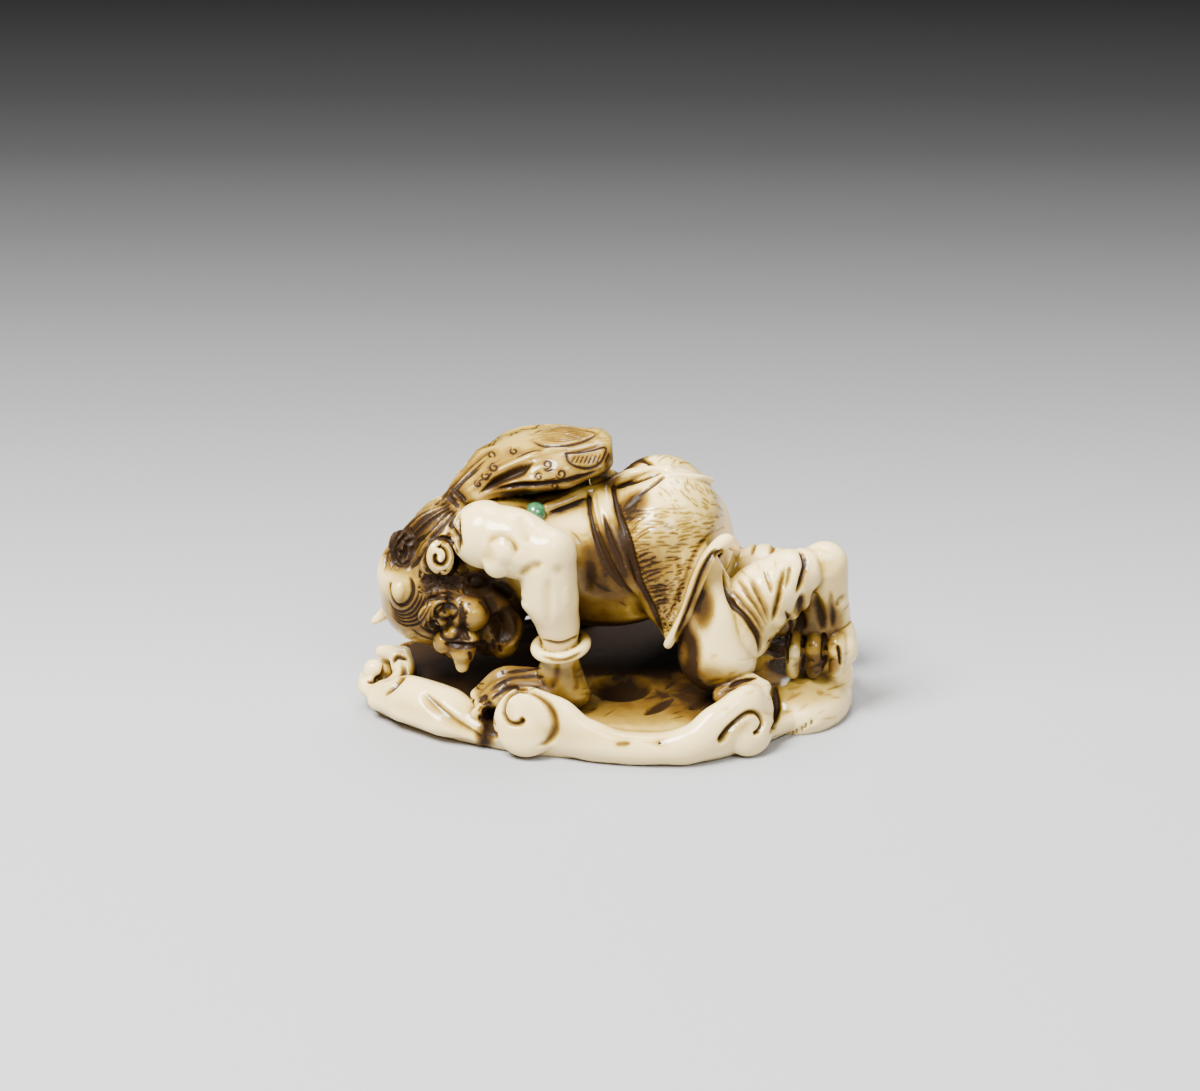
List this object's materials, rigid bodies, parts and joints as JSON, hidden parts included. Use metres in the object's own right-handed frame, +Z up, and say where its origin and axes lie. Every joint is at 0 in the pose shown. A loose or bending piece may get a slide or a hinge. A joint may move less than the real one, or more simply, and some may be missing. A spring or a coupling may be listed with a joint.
{
  "type": "netsuke",
  "caption": "Carved netsuke: a horned wind demon with its wind bag, on hands and knees on a curling cloud, with an inlaid bead.",
  "frame": {"origin": "middle of the flat underside that the carving stands on", "axes": "-X the way the demon faces, -Y its left side, +Z up"},
  "size_m": [0.0496, 0.0298, 0.0286],
  "materials": {
    "ivory": "polished ivory, cream on the high parts, with amber and dark brown stain in the recesses",
    "green_stone": "polished green stone"
  },
  "bodies": {
    "root": {"ivory_carving": "ivory", "green_bead": "green_stone"}
  },
  "joints": []
}
